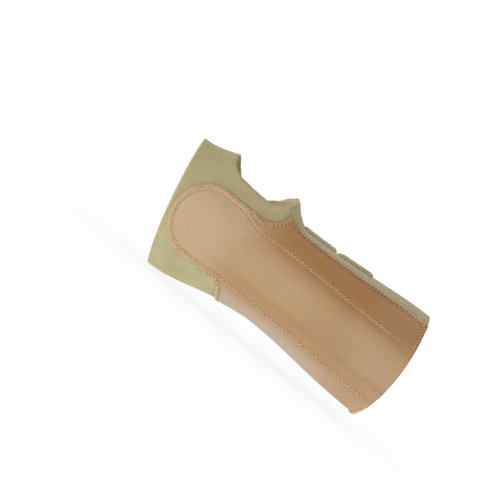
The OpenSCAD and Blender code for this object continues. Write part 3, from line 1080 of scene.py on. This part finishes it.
pocket_rows = [pocket_row(inset) for inset in (outer_row_inset, inner_row_inset)]
seam_pitch = mix(stitch_pitch, pocket_pitch, seam_moved(pocket_rows[0][:, 0]))
seam_holes = [stitches(*pocket_rows, seam_pitch)]
corner_gap = 0.5
skirt_gap = 0.3
cuff_gap = 1.5
web_cell = 0.3
skirt_cell = 0.15
web_x = steps(split_x, cover_corner_x - corner_gap, web_cell)
seam_holes.append(stitches(*edge_rows(web_x, cover_radial, grow(web_x, web_seam_reach))))
side_x = steps(cover_corner_x + corner_gap, cuff_len - cuff_gap, seam_cell)
seam_holes.append(stitches(*edge_rows(side_x, cover_radial)))
ulnar_x = steps(split_x, skirt_x - skirt_gap, skirt_cell)
seam_holes.append(stitches(*edge_rows(ulnar_x, cover_ulnar, grow(ulnar_x, edge_seam_reach))))

# The seam turns the thumb-side corner of the forearm end and stops a little way along that end
corner_seam_len = 20
corner_seam_insets = (0.8, 3.8)
corner_seam_from = 2.5
corner_seam_mid = 10
corner_seam_points = 40
corner_angle = float(cover_radial(cuff_len))
corner_span = math.degrees(corner_seam_len / polar(cuff_len, corner_angle + corner_seam_mid))
corner_a = corner_angle + np.linspace(corner_seam_from, corner_span, corner_seam_points)
corner_rows = [cover_base(cuff_len - inset, corner_a, outer_lift) for inset in corner_seam_insets]
seam_holes.append(stitches(*corner_rows))

thread_paths = np.concatenate([sew(h) for h in seam_holes])
seam = tubes("cover_seam", thread_paths, thread_r, thread_sides, seam_thread)
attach(seam, "palm_shell")


# Needle holes of these seams

hole_r = 0.30
lobe_hole_r = 0.44
outer_hole_share = 0.65
hole_sides = 8
hole_high = 0.04
hole_hollow = 0.1
hole_deep = leather_t / 3


def pricks(name, seams, material):
    """Small plugs with a hollow top where the needle went through the cover, dark with painted shade of the
    hole. Round the lobe they are wider, and most so in the inner row."""
    holes = np.concatenate(seams)
    outer = np.concatenate([np.arange(len(s)) % 2 == 0 for s in seams])
    x, a = on_cover(holes)
    n = normals(x, a)
    at = cover_face(x, a, 1) + hole_high * n
    slanted = np.array([0.3, 0.1, 0.9])
    run = unit(np.cross(n, slanted))
    across = np.cross(n, run)
    vertices, faces = [], []
    turn = 2 * np.pi * np.arange(hole_sides) / hole_sides
    radii = mix(np.where(outer, outer_hole_share, 1.0) * lobe_hole_r, hole_r, seam_moved(x))
    for p, u, v, w, radius in zip(at, run, across, n, radii):
        base = len(vertices)
        vertices.extend(p + radius * (math.cos(t) * u + math.sin(t) * v) for t in turn)
        vertices.extend([p - hole_hollow * radius * w, p - hole_deep * w])
        for j in range(hole_sides):
            k = (j + 1) % hole_sides
            faces.append([base + j, base + k, base + hole_sides])
            faces.append([base + k, base + j, base + hole_sides + 1])
    return link(name, vertices, faces, [material])


holes = pricks("cover_seam_holes", seam_holes, needle_hole_shade)
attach(holes, "palm_shell")

# Loose thread ends where the seam turns that corner: the way each goes, and how far it bends on the way
tail_ways = (((2.6, -1.0, 0.6), -1.0), ((-2.6, -1.0, 1.8), 0.8))
tail_droop = 0.5
tail_r = 0.17
tail_inset = 1.0
tail_angle = 1.0
tail_lift = 0.2
tail_points = 9
tail_run = np.linspace(0, 1, tail_points)[:, None]
tail_start = cover_base(cuff_len - tail_inset, corner_angle + tail_angle, outer_lift + tail_lift)
tail_paths = [
    tail_start + tail_run * np.array(way) + tail_run**2 * np.array([0, tail_droop, bend])
    for way, bend in tail_ways
]
tails = tubes("seam_ends", tail_paths, tail_r, thread_sides, seam_thread)
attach(tails, "palm_shell")

# The turned hem at the little-finger corner, which thins out at both ends
hem_from = 136
hem_to = 193
hem_points = 60
hem_sides = 10
hem_thick_r = 0.85
hem_thin = 0.06
hem_round = 0.4
hem_inset = 0.9
hem_wave_high = 0.15
hem_waves = Waves(seed=31, length=7)
hem_a = np.linspace(hem_from, hem_to, hem_points)
hem_r = hem_thick_r * np.sin(np.pi * np.linspace(hem_thin, 1 - hem_thin, hem_points)) ** hem_round
hem_line = cover_base(cuff_len - hem_inset, hem_a, outer_lift)
hem_line[:, 0] += hem_wave_high * hem_waves(hem_line)
hem = tubes("cover_hem", [hem_line], hem_r, hem_sides, leather_hem)
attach(hem, "palm_shell")


# Straps

def strap_lift(a):
    return mix(layer_gap, layer_gap + hook_t + sewn_gap, ease((-a - rise_from) / (rise_to - rise_from)))


def tip_half(a, x):
    left = np.maximum(0, np.radians(a + strap_tip_angle) * polar(x, a))
    run = np.maximum(0, strap_corner_r - left)
    return strap_w / 2 - strap_corner_r + np.sqrt(np.maximum(0, strap_corner_r**2 - run**2))


strap_waves = Waves(seed=12, length=24)
strap_wave_high = 0.10
strap_wave_under = 0.3
strap_press = 0.3
strap_rim = 0.35
strap_cell = 1.2
strap_columns = 29
selvage_low = 0.25
selvage_power = 14


def strap_sheet(name, x, angles, half, lift):
    """A strap's webbing pressed a little into the foam, with lower selvages."""
    share = np.linspace(-1, 1, strap_columns)[None, :]
    a = angles[:, None]
    place = x + share * half
    wave = strap_wave_high * strap_waves(skin(place, a))
    selvage = -selvage_low * np.abs(share) ** selvage_power
    low = lift - strap_press
    top = on_wrap(place, a, low + strap_t + wave + selvage)
    under = on_wrap(place, a, low + wave * strap_wave_under)
    return shell(name, top, under, strap_finish, strap_rim)


def run_length(x, angles, lift):
    """Length of a strap's run round the wrap."""
    return float(step_lengths(skin(x, angles, lift)).sum())


peel_run = 13
root_mid_lift = 1.0
free_mid_lift = 2.0
angle_step = 1.0
tip_points = 12
strap_tip_turn = np.radians(np.linspace(90, 0, tip_points))
for name, (x, start, peel) in straps.items():
    root = strap_sheet(f"{name}_sewn", x, steps(start, peel, strap_cell), strap_w / 2, layer_gap)
    bend_with_flap(root)
    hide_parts(f"{name}_root")
    root_len = run_length(x, steps(start, peel, angle_step), root_mid_lift)
    tip_span = math.degrees(strap_corner_r / polar(x, -strap_tip_angle))
    tip = -strap_tip_angle + tip_span * (1 - np.cos(strap_tip_turn))
    angles = np.concatenate([steps(peel, tip_span - strap_tip_angle, strap_cell), tip[1:]])
    down = angles[:, None]
    free = strap_sheet(f"{name}_end", x, angles, tip_half(down, x), strap_lift(down))
    peel_start = skin(x, peel, strap_t)
    peel_end = skin(x, peel - peel_run, strap_t)
    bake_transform(free)
    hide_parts(name)
    free_len = run_length(x, angles, free_mid_lift)


# Hook patches: a thin base under the strap's end and rows of small bent hooks

hook_pitch = 1.5
hook_r = 0.13
hook_sides = 4
hook_side_gap = 0.8
hook_base_t = 0.45
hook_base_rim = 0.1
hook_cell = 1.5
hook_columns = 15
hook_top = layer_gap + hook_t
# One hook from root to tip: how far it leans along the arm, and how far it stands out under the strap
hook_lean = np.array([0.0, 0.025, 0.175, 0.375, 0.425])
hook_drop = np.array([0.45, 0.75, 0.98, 0.92, 0.75])
hook_start = -strap_tip_angle + hook_inset


def hook_half(a, x):
    """Half of the hook patch's width, which follows the round end of the strap."""
    return np.minimum(strap_w / 2, tip_half(a, x)) - hook_margin


for name, (x, _, _) in straps.items():
    share = np.linspace(-1, 1, hook_columns)[None, :]
    a = steps(hook_start, hook_start + hook_span, hook_cell)[:, None]
    place = x + share * hook_half(a, x)
    top = on_wrap(place, a, hook_top)
    under = on_wrap(place, a, hook_top - hook_base_t)
    base = shell(f"{name}_hook_base", top, under, [hook_plastic] * 3, hook_base_rim)
    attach(base, name)
    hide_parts(f"{name}_hook")
    rows = int(math.radians(hook_span) * polar(x, hook_start + hook_span / 2) / hook_pitch)
    paths = []
    for i in range(1, rows):
        row_a = hook_start + hook_span * i / rows
        half = hook_half(row_a, x) - hook_side_gap
        for s in np.arange(-half + (i % 2) * hook_pitch / 2, half, hook_pitch):
            paths.append(on_wrap(x + s + hook_lean, row_a, hook_top - hook_drop))
    hooks = tubes(f"{name}_hooks", paths, hook_r, hook_sides, hook_plastic)
    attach(hooks, name)


# Thread bars that hold the strap roots: stitches to and fro, side by side

bar_pitch = 0.62
bar_r = 0.18
bar_sides = 5
bar_points = 7
bar_place = 1.5
bar_reach = 0.55
bar_high = 0.04
bar_arch = 0.2
bar_turn = 1.5
bar_run = np.linspace(0, bar_pitch, bar_points)
bar_swing = np.linspace(-bar_reach, bar_reach, bar_points)
bar_rise = bar_arch * np.cos(np.linspace(-bar_turn, bar_turn, bar_points))
bar_lift = layer_gap + strap_t - strap_press + bar_high + bar_rise
bar_half = strap_w / 2 - hook_margin
bar_paths = []
for x, start, peel in straps.values():
    for at, way in ((start, -1), (peel, 1)):
        span = math.degrees(tack_len / polar(x, at))
        middle_angle = at + way * bar_place * span
        for k, s in enumerate(np.arange(-bar_half, bar_half, bar_pitch)):
            swing = bar_swing * (1 if k % 2 else -1)
            bar_paths.append(on_wrap(x + s + bar_run, middle_angle + swing * span, bar_lift))
bars = tubes("strap_bars", bar_paths, bar_r, bar_sides, strap_thread)
bend_with_flap(bars)
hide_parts("strap_bar_tacks")


# The stay keeps its own solid

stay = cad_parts["palmar_stay"]
stay.data.materials.clear()
stay.data.materials.append(stay_metal)


# Floor, light and camera

def light_path(tree):
    """1 for rays from the camera or by way of gloss or glass, 0 for light that reaches other surfaces."""
    rays = new_node(tree, "LightPath").outputs
    most = rays["Is Camera Ray"]
    for ray in ("Is Glossy Ray", "Is Transmission Ray"):
        most = new_node(tree, "Math", {0: most, 1: rays[ray]}, operation="MAXIMUM").outputs[0]
    return most


def make_world(low, high):
    """White to the camera; soft light on the object, of one strength from below and another from above."""
    world = bpy.data.worlds.new("studio")
    scene.world = world
    world.use_nodes = True
    tree = world.node_tree
    tree.nodes.clear()
    white = grey(1.0)
    place = new_node(tree, "TexCoord")
    split = new_node(tree, "SeparateXYZ", {"Vector": place.outputs["Generated"]})
    levels = {"Value": split.outputs["Z"], "From Min": -1, "To Min": low, "To Max": high}
    height = new_node(tree, "MapRange", levels)
    seen = new_node(tree, "Background", {"Color": white, "Strength": 1.0})
    soft = new_node(tree, "Background", {"Color": white, "Strength": height.outputs["Result"]})
    pick = new_node(tree, "MixShader", {0: light_path(tree), 1: soft.outputs[0], 2: seen.outputs[0]})
    new_node(tree, "OutputWorld", {0: pick.outputs[0]})


def make_floor(z, half, tone, white_share, shadow_reach, glow):
    """A pale floor under the object: it lights the object from below, and shows white with the shadow kept.
    shadow_reach is where the shadow starts to fade and where it is gone."""
    corners = [(-half, -half, z), (half, -half, z), (half, half, z), (-half, half, z)]
    material = bpy.data.materials.new("floor_white")
    material.use_nodes = True
    tree = material.node_tree
    tree.nodes.clear()
    matt = new_node(tree, "BsdfDiffuse", {"Color": grey(tone)})
    white = new_node(tree, "Emission", {"Strength": 1.0})
    fill = new_node(tree, "Emission", {"Strength": glow})
    place = new_node(tree, "TexCoord")
    far = new_node(tree, "VectorMath", {0: place.outputs["Object"]}, operation="LENGTH")
    fade = {"From Min": shadow_reach[0], "From Max": shadow_reach[1], "To Min": white_share}
    fade["Value"] = far.outputs["Value"]
    share = new_node(tree, "MapRange", fade, interpolation_type="SMOOTHSTEP").outputs["Result"]
    seen = new_node(tree, "MixShader", {0: share, 1: matt.outputs[0], 2: white.outputs[0]})
    giving = new_node(tree, "AddShader", {0: matt.outputs[0], 1: fill.outputs[0]})
    pick = new_node(tree, "MixShader", {0: light_path(tree), 1: giving.outputs[0], 2: seen.outputs[0]})
    new_node(tree, "OutputMaterial", {0: pick.outputs[0]})
    floor = link("floor", np.array(corners), [[0, 1, 2, 3]], [material])


def area_light(name, place, aim, size, power):
    data = bpy.data.lights.new(name, "AREA")
    data.shape = "DISK"
    data.size = size
    data.energy = power
    lamp = bpy.data.objects.new(name, data)
    scene.collection.objects.link(lamp)
    lamp.location = place
    lamp.rotation_mode = "QUATERNION"
    lamp.rotation_quaternion = (Vector(aim) - Vector(place)).to_track_quat("-Z", "Y")


floor_drop = 0.5
floor_z = cad_box[0].z / MM - floor_drop
make_world(low=0.43, high=0.12)
make_floor(floor_z, half=6000, tone=0.86, white_share=0.88, shadow_reach=(0.06, 0.22), glow=0.7)
area_light("key", place=(-0.95, -0.95, 0.05), aim=(-0.02, 0, 0), size=0.8, power=11)
area_light("back", place=(0.3, 0.5, 1.35), aim=(0, 0, 0), size=0.9, power=13)

# The camera looks square at the palm side, with the arm slanting across the picture
frame_width = 0.3168
camera_away = 0.8
camera_aim = Vector((-0.0389, 0, 0.0011))
arm_slope = math.radians(38.5)
camera_data = bpy.data.cameras.new("camera")
camera_data.sensor_width = 36
camera_data.lens = camera_data.sensor_width * camera_away / frame_width
camera = bpy.data.objects.new("camera", camera_data)
scene.collection.objects.link(camera)
right = Vector((math.cos(arm_slope), 0, math.sin(arm_slope)))
up = Vector((-math.sin(arm_slope), 0, math.cos(arm_slope)))
back = Vector((0, -1, 0))
camera_turn = Matrix((right, up, back)).transposed().to_4x4()
camera.matrix_world = Matrix.Translation(camera_aim + back * camera_away) @ camera_turn
scene.camera = camera
scene.view_settings.view_transform = "Standard"
